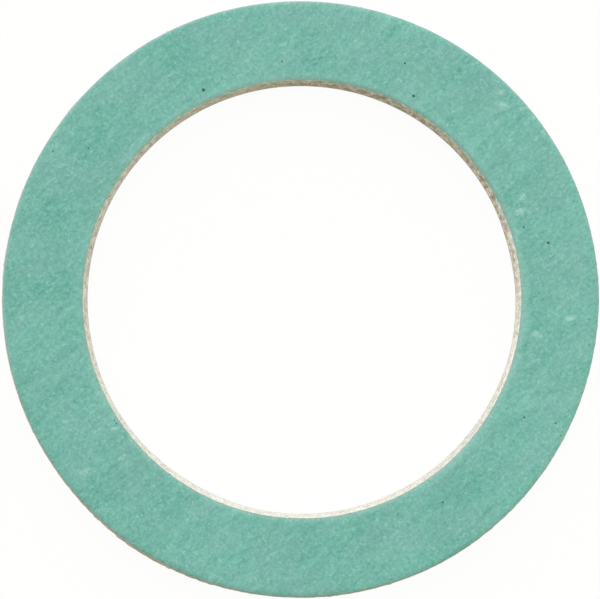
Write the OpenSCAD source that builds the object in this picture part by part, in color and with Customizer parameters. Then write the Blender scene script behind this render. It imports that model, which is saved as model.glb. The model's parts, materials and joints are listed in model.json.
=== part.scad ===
// Flat ring gasket, punched in one piece from compressed fibre sheet.
// It lies on its back face: z = 0 is the back, z = sheet_t is the front, and z is the ring's axis.
// The punch shears the lower part of each wall, which leaves a rounded back edge and a straight land.
// Above the land the sheet tears, so there the wall leans back towards the front face.
// Beside each edge the punch draws the front face down in a shallow rollover.

/* [Ring] */
// Outside diameter, over the sheared land of the rim
outer_d = 42; // [34:0.1:120]
// Diameter of the bore, across its sheared land
bore_d = 30.2; // [6:0.1:38]
// Thickness of the sheet
sheet_t = 2; // [1.2:0.1:6]

/* [Punched walls] */
// Height at which the sheared land ends and the torn wall begins
land_top = 0.7; // [0.3:0.05:1]
// How far the torn wall leans back between the land and the level of the front face
tear_lean = 0.2; // [0:0.01:0.8]
// Radius of the rounded edge between the land and the back face
back_edge_r = 0.12; // [0.02:0.01:0.25]

/* [Front edges] */
// Width of the rollover beside each edge of the front face
roll_w = 0.35; // [0.1:0.01:0.6]
// Radius of the rollover's curve
roll_r = 1; // [0.7:0.05:1.2]
// Radius of the worn edge between the rollover and the torn wall
front_edge_r = 0.08; // [0.02:0.01:0.2]

/* [Hidden] */
$fn = 180;

sheet_green = [0.48, 0.71, 0.65];
outer_r = outer_d / 2;
bore_r = bore_d / 2;
// Lean of the torn wall from the upright, and slope of the rollover where it ends
tear_angle = atan2(tear_lean, sheet_t - land_top);
roll_angle = asin(roll_w / roll_r);

// Centre of the worn edge's round, measured inwards from the land and up from the back face.
// The round touches the torn wall, and touches the rollover's curve from inside.
edge_z = sheet_t - roll_r + (roll_r - front_edge_r) * cos(roll_angle);
edge_in = (front_edge_r + (edge_z - land_top) * sin(tear_angle)) / cos(tear_angle);
// Distance inwards from the land to the end of the flat face, where the rollover starts
roll_in = edge_in + (roll_r - front_edge_r) * sin(roll_angle);
// Distance from the round's centre at which the outline meets it: just inside it, so no sliver is left
edge_meet = front_edge_r - 0.0002;

// Outline of one wall, from the back face up to the front face.
// The ring's material lies inwards of the rim, where side is 1, and outwards of the bore, where it is -1.
function wall_line(land_r, side) = [
    [land_r - side * back_edge_r, 0],
    [land_r, back_edge_r],
    [land_r, land_top],
    [land_r - side * (edge_in - edge_meet * cos(tear_angle)), edge_z + edge_meet * sin(tear_angle)],
    [land_r - side * (edge_in - edge_meet * sin(roll_angle)), edge_z + edge_meet * cos(roll_angle)],
    [land_r - side * roll_in, sheet_t]
];

function backwards(points) = [for (i = [len(points) - 1 : -1 : 0]) points[i]];

// Curve of the rollover: a slice of a disc that reaches from the flat face to the worn edge
module rollover(land_r, side) {
    reach = 2 * roll_r;
    translate([land_r - side * roll_in, sheet_t - roll_r])
        intersection() {
            circle(r = roll_r);
            polygon([[0, 0], [0, reach], [side * reach * sin(roll_angle), reach * cos(roll_angle)]]);
        }
}

// Rounds of one wall's back edge and worn front edge
module wall_edges(land_r, side) {
    translate([land_r - side * back_edge_r, back_edge_r])
        circle(r = back_edge_r);
    translate([land_r - side * edge_in, edge_z])
        circle(r = front_edge_r);
}

// Section through the band, with the radius along x and the height along y
module punched_section() {
    polygon(concat(wall_line(outer_r, 1), backwards(wall_line(bore_r, -1))));
    for (wall = [[outer_r, 1], [bore_r, -1]]) {
        rollover(wall[0], wall[1]);
        wall_edges(wall[0], wall[1]);
    }
}

module gasket_ring() {
    color(sheet_green)
        rotate_extrude()
            punched_section();
}

gasket_ring();
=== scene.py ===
"""A flat gasket punched from green fibre sheet, lying on a white floor and seen from straight above."""

import json
import math
import random

import bpy
import numpy as np
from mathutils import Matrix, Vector, noise


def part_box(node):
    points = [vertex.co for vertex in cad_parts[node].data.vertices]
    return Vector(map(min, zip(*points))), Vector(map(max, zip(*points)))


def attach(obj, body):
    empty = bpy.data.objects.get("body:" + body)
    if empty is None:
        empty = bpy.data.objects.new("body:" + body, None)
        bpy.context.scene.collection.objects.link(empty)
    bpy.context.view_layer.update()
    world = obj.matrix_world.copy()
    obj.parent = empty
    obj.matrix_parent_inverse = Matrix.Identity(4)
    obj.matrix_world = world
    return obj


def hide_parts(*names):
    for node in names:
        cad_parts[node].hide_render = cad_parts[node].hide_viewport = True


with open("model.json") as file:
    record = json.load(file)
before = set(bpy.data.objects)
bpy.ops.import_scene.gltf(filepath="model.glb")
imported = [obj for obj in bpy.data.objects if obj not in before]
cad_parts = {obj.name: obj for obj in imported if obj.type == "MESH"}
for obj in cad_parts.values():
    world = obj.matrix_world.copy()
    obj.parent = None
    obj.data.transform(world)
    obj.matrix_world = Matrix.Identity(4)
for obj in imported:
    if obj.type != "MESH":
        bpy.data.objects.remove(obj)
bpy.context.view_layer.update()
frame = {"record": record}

MM = 0.001

# Sizes of the ring, from the frame
mounts = {mount["name"]: mount for mount in frame["record"]["mounts"]}
outer_r = mounts["rim"]["dims"]["r_mm"] * MM
bore_r = mounts["bore"]["dims"]["r_mm"] * MM
land_middle = mounts["bore"]["pos_m"][2]
land_half = mounts["bore"]["dims"]["length_mm"] * MM / 2
ring_low, ring_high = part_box("gasket_ring")
sheet_t = ring_high.z - ring_low.z
land_top = land_middle + land_half
back_edge_r = land_middle - land_half
middle_r = (outer_r + bore_r) / 2

# Torn walls, rollover beside the front edges and worn front edges, as in the solid
tear_lean = 0.20 * MM
roll_w = 0.35 * MM
roll_r = 1.0 * MM
front_edge_r = 0.08 * MM
tear_angle = math.atan2(tear_lean, sheet_t - land_top)
roll_angle = math.asin(roll_w / roll_r)
edge_z = sheet_t - roll_r + (roll_r - front_edge_r) * math.cos(roll_angle)
edge_in = (front_edge_r + (edge_z - land_top) * math.sin(tear_angle)) / math.cos(tear_angle)
roll_in = edge_in + (roll_r - front_edge_r) * math.sin(roll_angle)
front_outer_r = outer_r - edge_in + front_edge_r

# How far the green skin runs past the flat faces, and the hole's distance off centre
skin_over_back = back_edge_r * math.pi / 2
skin_over_bore = roll_r * roll_angle + 0.022 * MM
skin_over_rim = roll_r * roll_angle + 0.12 * MM
punch_offset = np.array((0.09, -0.05, 0.0)) * MM

# Direction of the sheet's rolling marks, and the middle and half spread of the rim's frayed part
rolling_direction = math.radians(42)
fray_direction = 237
fray_spread = math.radians(15)

# Sides of the ring that differ in finish or carry painted light and shade, in degrees round the axis
# painted light: the face's skin is lighter towards this side
PAINTED_LIGHT_FACE_SIDE = 35
# paler band beside the bore towards this side: partly from the punch's pressure, partly painted light on the
# shaded rolled edge
PRESSED_AND_PAINTED_LIGHT_SIDE = 75
PRESSED_HARD = 345
# painted highlight on the rim's rolled front edge towards this side
PAINTED_HIGHLIGHT_RIM_SIDE = 135
# painted shade on the bore's front edge towards this side
SHADED_BORE_EDGE_SIDE = 50
# whiter fibre clumps on the bore wall towards this side, partly painted light
CLEAN_AND_PAINTED_LIGHT_SIDE = 357
SPLIT_BORE_SIDE = 255
# dark blotches on the bore wall towards this side: grime, and painted shade on its shaded side
GRIME_AND_PAINTED_SHADE_SIDE = 53
DUSTY_BORE_SIDE = 128
STAINED_BORE_SIDE = 174
# painted shade on the rim's wall on the side that faces away from the light
PAINTED_SHADE_RIM_SIDE = 262

# Nicks in the front edge of the rim: direction in degrees, half width and depth in mm
NICKS = ((242.6, 0.16, 0.06), (244.3, 0.12, 0.04), (246.4, 0.20, 0.05), (282.3, 0.22, 0.03))

# Uneven walls: direction and half spread in degrees, and mm by which the wall stands out there
UNEVEN_BORE = ((15, 10, 0.06), (140, 40, -0.045), (210, 14, -0.05), (240, 12, 0.05), (345, 10, -0.05))
UNEVEN_RIM = ((0, 8, 0.025), (118, 14, 0.042), (300, 9, 0.03), (338, 14, -0.02))

# Fineness of the ring's mesh
AROUND = 1100
BACK_ROWS = 8
FRONT_ROWS = 14
BACK_EDGE_ROWS = 4
LAND_ROWS = 4
TEAR_ROWS = 16
FRONT_EDGE_ROWS = 4
ROLL_ROWS = 5

# Loose fibres on the walls: number, mesh, ranges of length and rise in mm, and most lean in degrees
FIBRES = 2400
FIBRE_SIDES = 3
FIBRE_RINGS = 5
FIBRE_LENGTH = (0.12, 0.45)
FIBRE_RISE = (0.006, 0.028)
MOST_LEAN = 45
fibre_r = 0.010 * MM

# Dark specks in the front skin: place and half width in mm, strength
SPECKS = (
    (-6.82, 14.55, 0.17, 0.95),
    (7.88, 14.15, 0.14, 0.95),
    (17.28, 3.85, 0.15, 0.90),
    (7.28, 16.45, 0.11, 0.90),
    (15.58, -8.35, 0.12, 0.90),
    (-1.32, 16.55, 0.11, 0.80),
    (15.58, 4.95, 0.11, 0.80),
    (9.88, -14.25, 0.11, 0.80),
    (17.78, -8.75, 0.10, 0.80),
    (-17.32, 10.25, 0.08, 0.80),
    (-14.82, 10.45, 0.09, 0.80),
    (-12.99, -8.52, 0.07, 0.80),
    (-12.86, -8.74, 0.09, 0.80),
    (6.85, -15.16, 0.34, 0.22),
    (6.74, -15.04, 0.09, 0.55),
    (18.10, -9.60, 0.10, 0.55),
    (16.48, -6.65, 0.35, 0.20),
    (11.18, 15.85, 0.40, 0.15),
)

# Cream patches in the front skin: place, half length and half width in mm, turn in degrees
PATCHES = (
    (14.13, 13.45, 0.55, 0.45, 20),
    (13.98, 14.45, 0.45, 0.26, 35),
    (15.48, 13.25, 0.26, 0.20, 0),
    (16.98, 11.55, 0.34, 0.20, 120),
    (15.58, 7.05, 0.50, 0.34, 60),
    (15.28, 6.05, 0.48, 0.36, 20),
    (18.78, -1.45, 0.60, 0.30, 15),
    (16.58, -2.55, 0.70, 0.36, 170),
    (-12.52, -11.15, 0.55, 0.26, 30),
    (-15.02, -12.15, 0.60, 0.30, 40),
    (-12.90, -9.06, 0.50, 0.15, 8),
    (-1.32, 17.75, 0.45, 0.20, 10),
    (4.37, -20.19, 0.36, 0.12, 12),
)

# Strands of fibre under the skin: direction in degrees and seed
STRAND_LAYERS = ((6, 1.3), (34, 17.9), (126, 41.1))

# Colours of the green skin, a painted highlight and a painted shade among them
dye_dark = (0.077, 0.326, 0.247, 1)
dye_light = (0.247, 0.572, 0.472, 1)
dye_faded = (0.285, 0.450, 0.424, 1)
pale_fibre = (0.41, 0.73, 0.64, 1)
dark_gap = (0.075, 0.270, 0.208, 1)
cream_patch = (0.40, 0.68, 0.55, 1)
# painted highlight colour for the rim's rolled edge
highlight_pale = (0.56, 0.70, 0.62, 1)
worn_clean = (0.42, 0.42, 0.30, 1)
# painted shade colour for the bore's front edge
edge_shade_dark = (0.24, 0.21, 0.14, 1)
speck_dark = (0.012, 0.040, 0.032, 1)

# Colours of the bare walls, painted light and shade among them, and the height in mm at which their plies
# split
wall_tan = (0.645, 0.625, 0.51, 1)
wall_cream = (0.83, 0.855, 0.79, 1)
# near-white clump colour, partly painted light
wall_white_and_light = (0.99, 0.99, 0.90, 1)
wall_pink = (0.78, 0.705, 0.61, 1)
split_brown = (0.48, 0.37, 0.28, 1)
# dark blotch colour in the bore: grime and painted shade
bore_grime_and_shade = (0.33, 0.28, 0.19, 1)
handled_tan = (0.58, 0.53, 0.41, 1)
handled_brown = (0.36, 0.30, 0.21, 1)
# painted shade colour for the rim's lower side
rim_shade_olive = (0.39, 0.44, 0.37, 1)
fleck_brown = (0.45, 0.36, 0.26, 1)
land_brown = (0.50, 0.43, 0.34, 1)
SPLIT_HEIGHT = 1.09

# Colours of the loose fibres, the floor and the light
fibre_tan = (0.66, 0.61, 0.47, 1)
fibre_cream = (0.93, 0.92, 0.82, 1)
floor_white = (0.97, 0.945, 0.84, 1)
light_slope = (0.975, 1.025, 1.235)

# Share of the floor that is seen as plain white, and the floor's half width in radii of the ring
WHITE_SHARE = 0.95
FLOOR_REACH = 40

# Photograph's frame and view
PHOTO_WIDTH = 600
RING_WIDTH_IN_PHOTO = 596.7
view_distance = 160 * MM
view_tilt = math.radians(2.03)
view_side = math.radians(245)
aim = Vector((-0.074 * MM, -0.115 * MM, sheet_t))
SENSOR = 36.0


class Wire:
    """A socket of a node tree. Arithmetic on it adds Math nodes to the tree."""

    def __init__(self, tree, socket):
        self.tree = tree
        self.socket = socket

    def math(self, operation, *values):
        return self.tree.node("ShaderNodeMath", {"operation": operation}, dict(enumerate(values)))

    def __add__(self, other):
        return self.math("ADD", self, other)

    def __radd__(self, other):
        return self.math("ADD", other, self)

    def __sub__(self, other):
        return self.math("SUBTRACT", self, other)

    def __rsub__(self, other):
        return self.math("SUBTRACT", other, self)

    def __mul__(self, other):
        return self.math("MULTIPLY", self, other)

    def __rmul__(self, other):
        return self.math("MULTIPLY", other, self)

    def clamp(self):
        return self.tree.node("ShaderNodeClamp", {}, {"Value": self})

    def step(self, low, high):
        """0 below low, 1 above high, smooth between them."""
        sockets = {"Value": self, "From Min": low, "From Max": high}
        return self.tree.node("ShaderNodeMapRange", {"interpolation_type": "SMOOTHSTEP"}, sockets)

    def between(self, low, high, soft):
        """1 from low to high, falling to 0 over the given distance outside them."""
        return self.step(low - soft, low) * (1 - self.step(high, high + soft))


class Tree:
    """The node tree of a material or of the world, emptied and ready to be wired."""

    def __init__(self, owner):
        owner.use_nodes = True
        self.tree = owner.node_tree
        self.tree.nodes.clear()

    def node(self, kind, settings, sockets, output=0):
        made = self.tree.nodes.new(kind)
        for name, value in settings.items():
            setattr(made, name, value)
        for key, value in sockets.items():
            if isinstance(value, Wire):
                self.tree.links.new(value.socket, made.inputs[key])
            else:
                made.inputs[key].default_value = value
        return Wire(self, made.outputs[output]) if made.outputs else None

    def mix(self, share, first, second):
        settings = {"data_type": "RGBA"}
        return self.node("ShaderNodeMix", settings, {0: share, 6: first, 7: second}, output=2)

    def place(self):
        """The place on the object, in mm."""
        metres = self.node("ShaderNodeTexCoord", {}, {}, output="Object")
        return self.node("ShaderNodeVectorMath", {"operation": "SCALE"}, {0: metres, "Scale": 1 / MM})

    def own_frame(self, place, centre, size, turn):
        """The place as seen from a frame at the centre, turned about z, with the size as its unit."""
        sockets = {"Vector": place, "Location": centre, "Rotation": (0, 0, turn), "Scale": size}
        return self.node("ShaderNodeMapping", {"vector_type": "TEXTURE"}, sockets)

    def lumps(self, place, size, turn=0.0, detail=2.0, seed=0.0):
        """Noise with lumps of the given size along x, y and z, turned about z."""
        turned = self.own_frame(place, (seed, seed, seed), size, turn)
        sockets = {"Vector": turned, "Scale": 1.0, "Detail": detail, "Roughness": 0.6}
        return self.node("ShaderNodeTexNoise", {}, sockets)

    def spot(self, place, centre, size, turn=0.0):
        """1 in the middle of a spot of the given half size, falling to 0 at its border."""
        inside = self.own_frame(place, centre, size, turn)
        reach = self.node("ShaderNodeVectorMath", {"operation": "LENGTH"}, {0: inside}, output="Value")
        return 1 - reach.step(0.25, 1.0)

    def side(self, place, degrees):
        """How far round the axis the place lies towards a direction: 1 there, -1 opposite."""
        flat = self.node("ShaderNodeVectorMath", {"operation": "MULTIPLY"}, {0: place, 1: (1, 1, 0)})
        unit = self.node("ShaderNodeVectorMath", {"operation": "NORMALIZE"}, {0: flat})
        turn = math.radians(degrees)
        sockets = {0: unit, 1: (math.cos(turn), math.sin(turn), 0)}
        return self.node("ShaderNodeVectorMath", {"operation": "DOT_PRODUCT"}, sockets, output="Value")

    def radius(self, place):
        """The distance of the place from the axis."""
        flat = self.node("ShaderNodeVectorMath", {"operation": "MULTIPLY"}, {0: place, 1: (1, 1, 0)})
        return self.node("ShaderNodeVectorMath", {"operation": "LENGTH"}, {0: flat}, output="Value")

    def background_rays(self):
        """1 for rays that see the background itself, 0 for rays that carry its light."""
        path = ("Is Camera Ray", "Is Glossy Ray", "Is Transmission Ray")
        seen = [self.node("ShaderNodeLightPath", {}, {}, output=name) for name in path]
        return (seen[0] + seen[1] + seen[2]).clamp()


def grey(level):
    return (level, level, level, 1.0)


def arc(centre, radius, start, end, rows):
    """Points and outward directions along an arc, without its first point."""
    angles = np.linspace(start, end, rows + 1)[1:]
    ways = np.column_stack([np.cos(angles), np.sin(angles)])
    return np.array(centre) + radius * ways, ways


def straight(start, end, way, rows):
    """Points and outward directions along a straight run, without its first point."""
    share = np.linspace(0, 1, rows + 1)[1:, None]
    points = np.array(start) + share * (np.array(end) - np.array(start))
    return points, np.tile(way, (rows, 1))


def wall_outline(skin_over):
    """One wall from the back face up: place beside the land, outward way, and way past the skin's edge."""
    edge_centre = np.array((-edge_in, edge_z))
    tear_way = np.array((math.cos(tear_angle), math.sin(tear_angle)))
    roll_start = math.pi / 2 - roll_angle
    runs = [
        (np.array([[-back_edge_r, 0.0]]), np.array([[0.0, -1.0]])),
        arc((-back_edge_r, back_edge_r), back_edge_r, -math.pi / 2, 0, BACK_EDGE_ROWS),
        straight((0, back_edge_r), (0, land_top), (1, 0), LAND_ROWS),
        straight((0, land_top), edge_centre + front_edge_r * tear_way, tear_way, TEAR_ROWS),
        arc(edge_centre, front_edge_r, tear_angle, roll_start, FRONT_EDGE_ROWS),
        arc((-roll_in, sheet_t - roll_r), roll_r, roll_start, math.pi / 2, ROLL_ROWS),
    ]
    points = np.vstack([run[0] for run in runs])
    ways = np.vstack([run[1] for run in runs])
    steps = np.linalg.norm(np.diff(points, axis=0), axis=1)
    along = np.concatenate([[0.0], np.cumsum(steps)])
    bare = np.minimum(along - skin_over_back, along[-1] - along - skin_over)
    return points, ways, bare


def face_run(start, end, rows, height, way):
    """Points across a face between two walls, without its ends, which belong to the walls."""
    share = np.linspace(0, 1, rows + 2)[1:-1]
    radii = start[0] + share * (end[0] - start[0])
    points = np.column_stack([radii, np.full(rows, height)])
    bare = np.maximum(start[1] - abs(radii - start[0]), end[1] - abs(radii - end[0]))
    return points, np.tile((0.0, way), (rows, 1)), bare


def section():
    """The whole outline of the band: radius and height, outward way, and way past the skin's edge."""
    points, ways, bare = wall_outline(skin_over_rim)
    rim = (points + [outer_r, 0], ways, bare)
    points, ways, bare = wall_outline(skin_over_bore)
    bore = ((points * [-1, 1] + [bore_r, 0])[::-1], (ways * [-1, 1])[::-1], bare[::-1])
    ends = [(run[0][end][0], run[2][end]) for run, end in ((bore, -1), (rim, 0), (rim, -1), (bore, 0))]
    back = face_run(ends[0], ends[1], BACK_ROWS, 0.0, -1.0)
    front = face_run(ends[2], ends[3], FRONT_ROWS, sheet_t, 1.0)
    runs = (back, rim, front, bore)
    return [np.concatenate([run[part] for run in runs]) for part in range(3)]


def bumps(points, size, seed):
    """Smooth noise from about -1 to 1 at each point, with lumps of the given size in mm along x, y and z."""
    places = points / (np.array(size) * MM) + seed
    return np.array([noise.noise(place) for place in places.tolist()])


def smooth(values, low, high):
    share = np.clip((values - low) / (high - low), 0, 1)
    return share * share * (3 - 2 * share)


def hump(values, half_width):
    return np.exp(-((values / half_width) ** 2))


def bearing(turn, degrees):
    """Angle from a direction, from -pi to pi."""
    return np.angle(np.exp(1j * (turn - math.radians(degrees))))


def unevenness(turn, rows):
    """How far a wall stands out at each angle, in metres."""
    stands_out = np.zeros_like(turn)
    for degrees, spread, depth in rows:
        stands_out += depth * MM * hump(bearing(turn, degrees), math.radians(spread))
    return stands_out


def relief(points, turn, height, skin, torn, rim_side):
    """How far the surface stands out at each point, in mm: torn walls, frayed rim and felted faces."""
    wall = smooth(skin, -0.02 * MM, 0.06 * MM)
    front_edge = hump(skin, 0.12 * MM) * (height > sheet_t / 2)
    fray = hump(bearing(turn, fray_direction), fray_spread) * rim_side

    layers = bumps(points, (1.3, 1.3, 0.24), 3.1)
    clumps = bumps(points, (0.42, 0.42, 0.45), 11.7)
    grooves = bumps(points, (0.28, 0.28, 1.2), 17.9)
    waves = bumps(points, (2.3, 2.3, 1.2), 23.4)
    felt = bumps(points, (0.6, 0.6, 0.6), 31.9)
    rolls = bumps(points, (5, 5, 5), 47.2)

    rough = np.where(rim_side, 0.5 - 0.25 * fray, 1.1)
    lift = torn * (rough * (0.03 * layers + 0.15 * clumps + 0.08 * grooves + 0.015 * waves) - 0.045)
    lift += (wall - torn) * (0.005 * clumps + 0.012 * grooves)
    lift += front_edge * (0.005 * clumps + 0.006 * waves)
    lift += fray * torn * (0.14 + 0.02 * waves) - fray * front_edge * 0.02
    lift += (1 - wall) * (0.004 * felt + 0.004 * rolls)
    return lift


def uneven_walls(turn, radius, height, skin, rim_side):
    """How far out from the axis each point moves, in metres: walls that aren't quite round, and nicks."""
    near_wall = smooth(abs(radius - middle_r), middle_r - bore_r - 1.2 * MM, middle_r - bore_r - 0.4 * MM)
    below_edge = 1 - smooth(height, sheet_t - 0.5 * MM, sheet_t - 0.05 * MM)
    bore_in = near_wall * below_edge * ~rim_side * unevenness(turn, UNEVEN_BORE)
    outwards = near_wall * rim_side * unevenness(turn, UNEVEN_RIM) - bore_in
    for degrees, half_width, depth in NICKS:
        nick = hump(bearing(turn, degrees) * outer_r, half_width * MM) * hump(skin, 0.25 * MM) * rim_side
        outwards -= nick * depth * MM
    return outwards


def ring_surface():
    """Places of the ring's vertices, row by row, with their outward ways, skin distances and tornness."""
    outline, ways, bare = section()
    turns = np.linspace(0, 2 * math.pi, AROUND, endpoint=False)
    turn = np.tile(turns, len(outline))
    radius, height = np.repeat(outline, AROUND, axis=0).T
    way_out, way_up = np.repeat(ways, AROUND, axis=0).T
    skin = np.repeat(bare, AROUND)
    rim_side = radius > middle_r
    torn = smooth(skin, 0, 0.25 * MM) * smooth(height, land_top - 0.15 * MM, land_top + 0.2 * MM)

    radial = np.column_stack([np.cos(turn), np.sin(turn), np.zeros_like(turn)])
    outward = radial * way_out[:, None] + np.outer(way_up, (0, 0, 1))
    points = radial * radius[:, None] + np.outer(height, (0, 0, 1))
    points += outward * (relief(points, turn, height, skin, torn, rim_side) * MM)[:, None]
    points += radial * uneven_walls(turn, radius, height, skin, rim_side)[:, None]
    points += np.outer((outer_r - radius) / (outer_r - bore_r), punch_offset)
    points[:, 2] = np.clip(points[:, 2], ring_low.z, ring_high.z + 0.01 * MM)
    return points, outward, skin, torn


def add_piece(name, points, faces, material):
    mesh = bpy.data.meshes.new(name)
    mesh.from_pydata(points, [], faces)
    mesh.polygons.foreach_set("use_smooth", [True] * len(mesh.polygons))
    mesh.materials.append(material)
    piece = bpy.data.objects.new(name, mesh)
    bpy.context.scene.collection.objects.link(piece)
    return piece


def punched_ring(points, skin, material):
    """The ring itself: a closed band of quads, with the way past the skin's edge kept on its points."""
    rows = len(points) // AROUND
    row, column = np.divmod(np.arange(rows * AROUND), AROUND)
    next_row = (row + 1) % rows * AROUND
    next_column = (column + 1) % AROUND
    here = row * AROUND
    faces = np.column_stack([here + column, here + next_column, next_row + next_column, next_row + column])
    ring = add_piece("punched_ring", points.tolist(), faces.tolist(), material)
    kept = ring.data.attributes.new("past_skin_mm", "FLOAT", "POINT")
    kept.data.foreach_set("value", (skin / MM).astype(np.float32))
    return ring


def wall_fibres(points, outward, torn, material):
    """Short fibre ends that lie along the torn walls, rooted in them."""
    draw = random.Random(5)
    roots = np.flatnonzero((torn > 0.6) & (points[:, 2] < sheet_t - 0.3 * MM))
    vertices = []
    faces = []
    for _ in range(FIBRES):
        root = int(roots[draw.randrange(len(roots))])
        out = Vector(outward[root]).normalized()
        level = Vector((-out.y, out.x, 0)).normalized()
        up = out.cross(level)
        lean = math.radians(draw.triangular(-MOST_LEAN, MOST_LEAN))
        along = (level * math.cos(lean) + up * math.sin(lean)) * draw.choice((-1, 1))
        length = draw.uniform(*FIBRE_LENGTH) * MM
        rise = draw.uniform(*FIBRE_RISE) * MM
        thick = fibre_r * draw.uniform(0.7, 1.5)
        first = len(vertices)
        for ring in range(FIBRE_RINGS):
            share = ring / (FIBRE_RINGS - 1)
            middle = Vector(points[root]) + along * length * (share - 0.5)
            middle += out * (rise * math.sin(math.pi * share) - fibre_r)
            taper = thick * (0.35 + 0.65 * math.sin(math.pi * (0.1 + 0.8 * share)))
            for side in range(FIBRE_SIDES):
                turn = 2 * math.pi * side / FIBRE_SIDES
                vertices.append(middle + taper * (out * math.cos(turn) + along.cross(out) * math.sin(turn)))
        for ring in range(FIBRE_RINGS - 1):
            for side in range(FIBRE_SIDES):
                low = first + ring * FIBRE_SIDES + side
                beside = first + ring * FIBRE_SIDES + (side + 1) % FIBRE_SIDES
                faces.append((low, beside, beside + FIBRE_SIDES, low + FIBRE_SIDES))
        last = first + (FIBRE_RINGS - 1) * FIBRE_SIDES
        faces.append(tuple(first + side for side in reversed(range(FIBRE_SIDES))))
        faces.append(tuple(last + side for side in range(FIBRE_SIDES)))
    return add_piece("wall_fibres", vertices, faces, material)


def dyed_skin_and_painted_light(tree, place, streak, felt, grain):
    """Green dye: broad drifts, streaks, felted mottle and grain, faded in places, with painted light making
    it lighter towards one side.
    """
    drift = tree.lumps(place, (9, 4, 6), rolling_direction, 1, 6.1)
    tone = 0.515 + 0.46 * (drift - 0.5) + 0.50 * (streak - 0.5) + 0.50 * (felt - 0.5) + 0.95 * (grain - 0.5)
    # painted light: the tone rises towards one side of the ring
    tone = tone + 0.045 * tree.side(place, PAINTED_LIGHT_FACE_SIDE)
    fading = tree.lumps(place, (3.6, 2.0, 3.0), rolling_direction, 2, 37.7)
    colour = tree.mix(tone.clamp(), dye_dark, dye_light)
    return tree.mix(0.20 * fading.step(0.35, 0.7), colour, dye_faded)


def skin_fibre(tree, place, colour):
    """Fibre under the skin: pale pebbles in clusters, strands and curls, and cream patches."""
    pebbles = tree.lumps(place, (0.25, 0.22, 0.22), rolling_direction, 1, 19.1)
    clusters = tree.lumps(place, (1.9, 1.3, 1.4), rolling_direction, 2, 57.1).step(0.42, 0.66)
    colour = tree.mix((0.22 + 0.20 * clusters) * pebbles.step(0.54, 0.80), colour, pale_fibre)
    for degrees, seed in STRAND_LAYERS:
        strands = tree.lumps(place, (0.40, 0.16, 0.3), math.radians(degrees), 1, seed)
        colour = tree.mix(0.14 * strands.step(0.60, 0.84), colour, pale_fibre)
        colour = tree.mix(0.20 * (1 - strands.step(0.18, 0.38)), colour, dark_gap)
    for shade, seed in ((pale_fibre, 63.7), (dark_gap, 71.9)):
        curls = tree.lumps(place, (0.55, 0.45, 0.5), rolling_direction, 1, seed).between(0.49, 0.51, 0.035)
        broken = tree.lumps(place, (0.5, 0.4, 0.4), rolling_direction, 1, seed + 5).step(0.50, 0.68)
        colour = tree.mix(0.30 * curls * broken, colour, shade)
    for x, y, half_length, half_width, degrees in PATCHES:
        size = (half_length, half_width, half_width)
        patch = tree.spot(place, (x, y, sheet_t / MM), size, math.radians(degrees))
        colour = tree.mix(patch * (0.22 + 0.48 * pebbles.step(0.38, 0.62)), colour, cream_patch)
    return colour


def skin_wear_light_and_shade(tree, place, on_rim, past_skin, streak, grain, colour):
    """Wear of the skin, with painted light and shade: paler beside the bore from the punch's pressure,
    partly painted light; a painted highlight along part of the rim's edge; thin along all edges, with
    painted shade on one side of the bore's edge.
    """
    # paler band beside the bore: real pressure marks, and towards one side also painted light that lightens
    # the rolled edge's shade
    pressed_and_painted_light = 0.05 + 0.07 * tree.side(place, PRESSED_AND_PAINTED_LIGHT_SIDE).step(-0.2, 0.6)
    pressed_and_painted_light = pressed_and_painted_light + 0.12 * tree.side(place, PRESSED_HARD).step(0.6, 0.95)
    beside_bore = (1 - on_rim) * (past_skin + 0.4 * (streak - 0.5)).step(-0.75, -0.25)
    colour = tree.mix(beside_bore * pressed_and_painted_light, colour, pale_fibre)
    # painted highlight along the rim's rolled front edge on one side
    rim_highlight = on_rim * tree.side(place, PAINTED_HIGHLIGHT_RIM_SIDE).step(0.3, 0.8) * past_skin.step(-0.32, -0.02)
    colour = tree.mix(0.24 * rim_highlight, colour, highlight_pale)
    # painted shade: the thin edge of the skin beside the bore is darker on one side
    shaded_edge_mask = (1 - on_rim) * tree.side(place, SHADED_BORE_EDGE_SIDE).step(0.75, 0.97)
    edge_wear_and_shade = tree.mix(shaded_edge_mask, worn_clean, edge_shade_dark)
    return tree.mix(0.35 * past_skin.step(-0.30, 0.02) * grain.step(0.1, 0.6), colour, edge_wear_and_shade)


def skin_specks(tree, place, colour):
    """Dark specks pressed into the front skin."""
    for x, y, half, strength in SPECKS:
        speck = tree.spot(place, (x, y, sheet_t / MM), (half, half, half))
        colour = tree.mix(strength * speck, colour, speck_dark)
    return colour


def wall_fibre(tree, place, on_rim, depth, clouds, clump, strand):
    """Bare fibre: cream clumps on tan, whitest at one side partly as painted light, pinker below a broken
    split in the plies.
    """
    pale = 0.5 + 0.78 * (clump - 0.5) + 0.55 * (strand - 0.5)
    colour = tree.mix(pale.clamp(), wall_tan, wall_cream)
    # whiter clumps on one side of the bore wall: pale fibre, partly painted light where that side wall
    # catches the light
    clean_and_painted_light = tree.side(place, CLEAN_AND_PAINTED_LIGHT_SIDE).step(0.82, 0.98)
    colour = tree.mix(0.82 * clean_and_painted_light * clump.step(0.25, 0.55), colour, wall_white_and_light)
    deep = 1 - depth.step(SPLIT_HEIGHT - 0.14, SPLIT_HEIGHT + 0.16)
    colour = tree.mix(0.4 * deep, colour, wall_pink)
    split = depth.between(SPLIT_HEIGHT - 0.03, SPLIT_HEIGHT + 0.03, 0.06)
    in_lit_bore = (1 - on_rim) * tree.side(place, SPLIT_BORE_SIDE).step(0.4, 0.9)
    open_split = (0.48 - 0.20 * on_rim - 0.36 * in_lit_bore) * clouds.step(0.30, 0.50) + 0.28 * in_lit_bore
    return tree.mix((open_split * split).clamp(), colour, split_brown)


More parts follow.
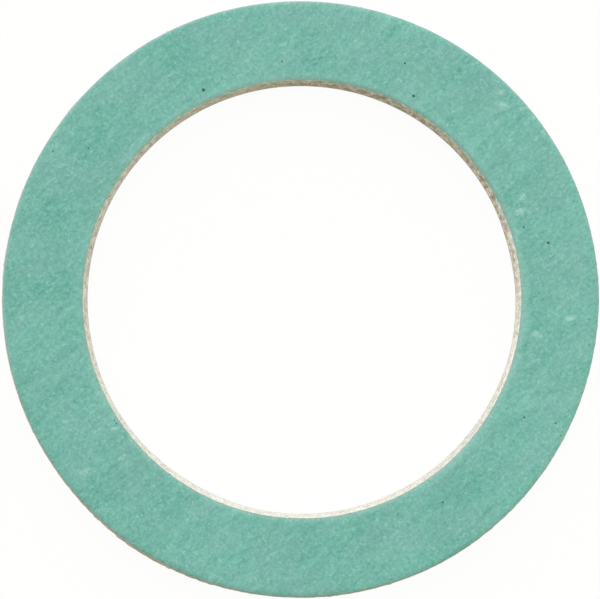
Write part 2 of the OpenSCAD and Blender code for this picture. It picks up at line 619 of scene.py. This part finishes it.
def wall_grime_and_shade(tree, place, on_rim, depth, clouds, colour):
    """Grime and painted shade on the fibre: in the bore, dark blotches mostly on the shaded side, grime and
    painted shade at once; on the rim, handled tan and brown all round and painted shade on its lower side.
    """
    blotches = tree.lumps(place, (0.38, 0.38, 0.48), 0, 3, 33.1)
    # dark blotches in the bore: grime, and on the shaded side also painted shade for the hollows between
    # fibre clumps
    grime_and_painted_shade = 0.04 + 0.70 * tree.side(place, GRIME_AND_PAINTED_SHADE_SIDE).step(0.45, 0.97)
    grime_and_painted_shade = grime_and_painted_shade + 0.08 * tree.side(place, DUSTY_BORE_SIDE).step(0.6, 0.95)
    grime_and_painted_shade = grime_and_painted_shade + 0.35 * tree.side(place, STAINED_BORE_SIDE).step(0.95, 0.99)
    grime_and_painted_shade = (1 - on_rim) * grime_and_painted_shade * (1 - 0.45 * depth.step(1.3, 1.8))
    colour = tree.mix(grime_and_painted_shade * blotches.step(0.42, 0.58), colour, bore_grime_and_shade)
    colour = tree.mix(on_rim * (0.25 + 0.35 * clouds.step(0.35, 0.65)), colour, handled_tan)
    colour = tree.mix(on_rim * 0.22 * blotches.step(0.40, 0.62), colour, handled_brown)
    # painted shade: the rim's wall is darker on the side facing away from the light
    shaded_rim_mask = on_rim * tree.side(place, PAINTED_SHADE_RIM_SIDE).step(0.45, 0.95) * depth.step(0.55, 1.0)
    colour = tree.mix(shaded_rim_mask * (0.42 + 0.33 * blotches.step(0.36, 0.60)), colour, rim_shade_olive)
    flecks = tree.lumps(place, (0.24, 0.24, 0.12), 0, 1, 51.3)
    return tree.mix(0.35 * flecks.step(0.66, 0.80), colour, fleck_brown)


def land_scratches(tree, place, depth, colour):
    """Upright scratches of the punch on the sheared land."""
    scratch = tree.lumps(place, (0.09, 0.09, 1.4), 0, 1, 15.3)
    land = 1 - depth.step(land_top / MM - 0.15, land_top / MM + 0.05)
    return tree.mix(land * (0.15 + 0.5 * scratch.step(0.45, 0.7)), colour, land_brown)


def sheet_material():
    """Mottled green skin on the faces, bare tan fibre on the cut walls, with a ragged line between them."""
    material = bpy.data.materials.new("fibre_sheet")
    tree = Tree(material)
    place = tree.place()
    past_skin = tree.node("ShaderNodeAttribute", {"attribute_name": "past_skin_mm"}, {}, output="Fac")
    on_rim = tree.radius(place).step(middle_r / MM - 0.1, middle_r / MM + 0.1)

    streak = tree.lumps(place, (3.4, 0.70, 1.1), rolling_direction, 2, 43.1)
    felt = tree.lumps(place, (1.05, 0.38, 0.5), rolling_direction, 2, 5.3)
    grain = tree.lumps(place, (0.22, 0.18, 0.2), rolling_direction, 1, 13.9)
    skin = dyed_skin_and_painted_light(tree, place, streak, felt, grain)
    skin = skin_fibre(tree, place, skin)
    skin = skin_wear_light_and_shade(tree, place, on_rim, past_skin, streak, grain, skin)
    skin = skin_specks(tree, place, skin)

    clump = tree.lumps(place, (0.34, 0.34, 0.28), 0, 2, 3.3)
    strand = tree.lumps(place, (0.28, 0.28, 0.08), 0, 2, 9.7)
    clouds = tree.lumps(place, (1.6, 1.6, 1.6), 0, 1, 27.7)
    level = tree.node("ShaderNodeSeparateXYZ", {}, {0: place}, output=2)
    depth = level + 0.25 * (clouds - 0.5)
    wall = wall_fibre(tree, place, on_rim, depth, clouds, clump, strand)
    wall = wall_grime_and_shade(tree, place, on_rim, depth, clouds, wall)
    wall = land_scratches(tree, place, depth, wall)

    ragged = tree.lumps(place, (0.34, 0.34, 0.34), 0, 3, 21.7)
    bare = (past_skin + 0.2 * (ragged - 0.5)).step(-0.03, 0.03)
    height = (1 - bare) * (0.09 * felt + 0.12 * grain) + bare * (0.45 * clump + 0.9 * strand)
    normal = tree.node("ShaderNodeBump", {}, {"Height": height, "Strength": 0.8, "Distance": 0.12 * MM})
    sockets = {
        "Base Color": tree.mix(bare, skin, wall),
        "Roughness": 0.66 + 0.24 * bare + 0.1 * (felt - 0.5),
        "Normal": normal,
        "Specular IOR Level": 0.35,
    }
    shader = tree.node("ShaderNodeBsdfPrincipled", {}, sockets)
    tree.node("ShaderNodeOutputMaterial", {}, {"Surface": shader})
    return material


def fibre_material():
    """Cream fibre ends, each a little lighter or darker along the wall."""
    material = bpy.data.materials.new("loose_fibre")
    tree = Tree(material)
    shade = tree.lumps(tree.place(), (0.5, 0.5, 0.2), 0, 1, 6.1)
    colour = tree.mix(shade.step(0.3, 0.7), fibre_tan, fibre_cream)
    sockets = {"Base Color": colour, "Roughness": 0.8, "Specular IOR Level": 0.3}
    shader = tree.node("ShaderNodeBsdfPrincipled", {}, sockets)
    tree.node("ShaderNodeOutputMaterial", {}, {"Surface": shader})
    return material


def white_floor():
    """A wide white floor under the ring, which keeps a light shadow of it."""
    material = bpy.data.materials.new("white_floor")
    tree = Tree(material)
    lit = tree.node("ShaderNodeBsdfDiffuse", {}, {"Color": floor_white})
    white = tree.node("ShaderNodeEmission", {}, {"Color": grey(1.0), "Strength": 1.0})
    share = WHITE_SHARE * tree.background_rays()
    shader = tree.node("ShaderNodeMixShader", {}, {0: share, 1: lit, 2: white})
    tree.node("ShaderNodeOutputMaterial", {}, {"Surface": shader})
    half = FLOOR_REACH * outer_r
    corners = [(-half, -half, 0), (half, -half, 0), (half, half, 0), (-half, half, 0)]
    floor = add_piece("floor", corners, [(0, 1, 2, 3)], material)


def studio_light():
    """Soft light from all round, bright and cool from the top of the picture, dim and warm from its foot."""
    world = bpy.data.worlds.new("surround")
    bpy.context.scene.world = world
    tree = Tree(world)
    direction = tree.node("ShaderNodeTexCoord", {}, {}, output="Generated")
    towards_top = tree.node("ShaderNodeSeparateXYZ", {}, {0: direction}, output=1)
    sockets = {0: towards_top, 1: light_slope, 2: (1.0, 1.0, 1.0)}
    slope = tree.node("ShaderNodeVectorMath", {"operation": "MULTIPLY_ADD"}, sockets)
    colour = tree.node("ShaderNodeVectorMath", {"operation": "MAXIMUM"}, {0: slope, 1: (0, 0, 0)})
    light = tree.node("ShaderNodeBackground", {}, {"Color": colour, "Strength": 1.0})
    white = tree.node("ShaderNodeBackground", {}, {"Color": grey(1.0), "Strength": 1.0})
    shader = tree.node("ShaderNodeMixShader", {}, {0: tree.background_rays(), 1: light, 2: white})
    tree.node("ShaderNodeOutputWorld", {}, {"Surface": shader})


def camera():
    """Square above the ring, a little to its lower left, with the ring as wide as in the photograph."""
    data = bpy.data.cameras.new("camera")
    data.sensor_width = SENSOR
    view_width = 2 * front_outer_r * PHOTO_WIDTH / RING_WIDTH_IN_PHOTO
    data.lens = SENSOR * view_distance / view_width
    data.clip_start = view_distance / 100
    data.clip_end = view_distance * 100
    eye = bpy.data.objects.new("camera", data)
    aside = math.sin(view_tilt)
    offset = Vector((aside * math.cos(view_side), aside * math.sin(view_side), math.cos(view_tilt)))
    eye.location = Vector((0, 0, sheet_t)) + view_distance * offset
    eye.rotation_mode = "QUATERNION"
    eye.rotation_quaternion = Vector((0, 0, -1)).rotation_difference(aim - eye.location)
    bpy.context.scene.collection.objects.link(eye)
    bpy.context.scene.camera = eye


points, outward, skin, torn = ring_surface()
ring = punched_ring(points, skin, sheet_material())
fibres = wall_fibres(points, outward, torn, fibre_material())
for piece in (ring, fibres):
    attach(piece, "root")
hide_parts("gasket_ring")
white_floor()
studio_light()
camera()
bpy.context.scene.view_settings.view_transform = "Standard"
